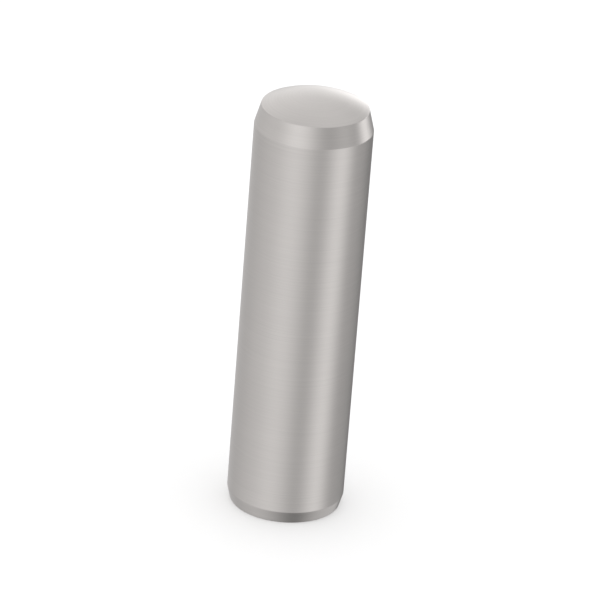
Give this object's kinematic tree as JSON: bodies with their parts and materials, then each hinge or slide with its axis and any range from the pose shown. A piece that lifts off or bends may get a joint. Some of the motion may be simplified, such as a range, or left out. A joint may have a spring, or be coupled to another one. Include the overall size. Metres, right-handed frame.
{
  "type": "dowel pin",
  "caption": "Straight steel dowel pin with a ground cylindrical shank, a long lead chamfer under a domed face at one end and a short chamfer at the flat end.",
  "frame": {"origin": "centre of the flat tail face, on the pin's axis", "axes": "+Z along the pin's axis from the flat tail face to the domed lead end; X and Y are free, because the pin is round"},
  "size_m": [0.008, 0.008, 0.03],
  "materials": {
    "ground_steel": "centreless-ground satin, very fine marks running round the axis, uncoated"
  },
  "bodies": {
    "root": {"dowel_pin": "ground_steel"}
  },
  "joints": []
}
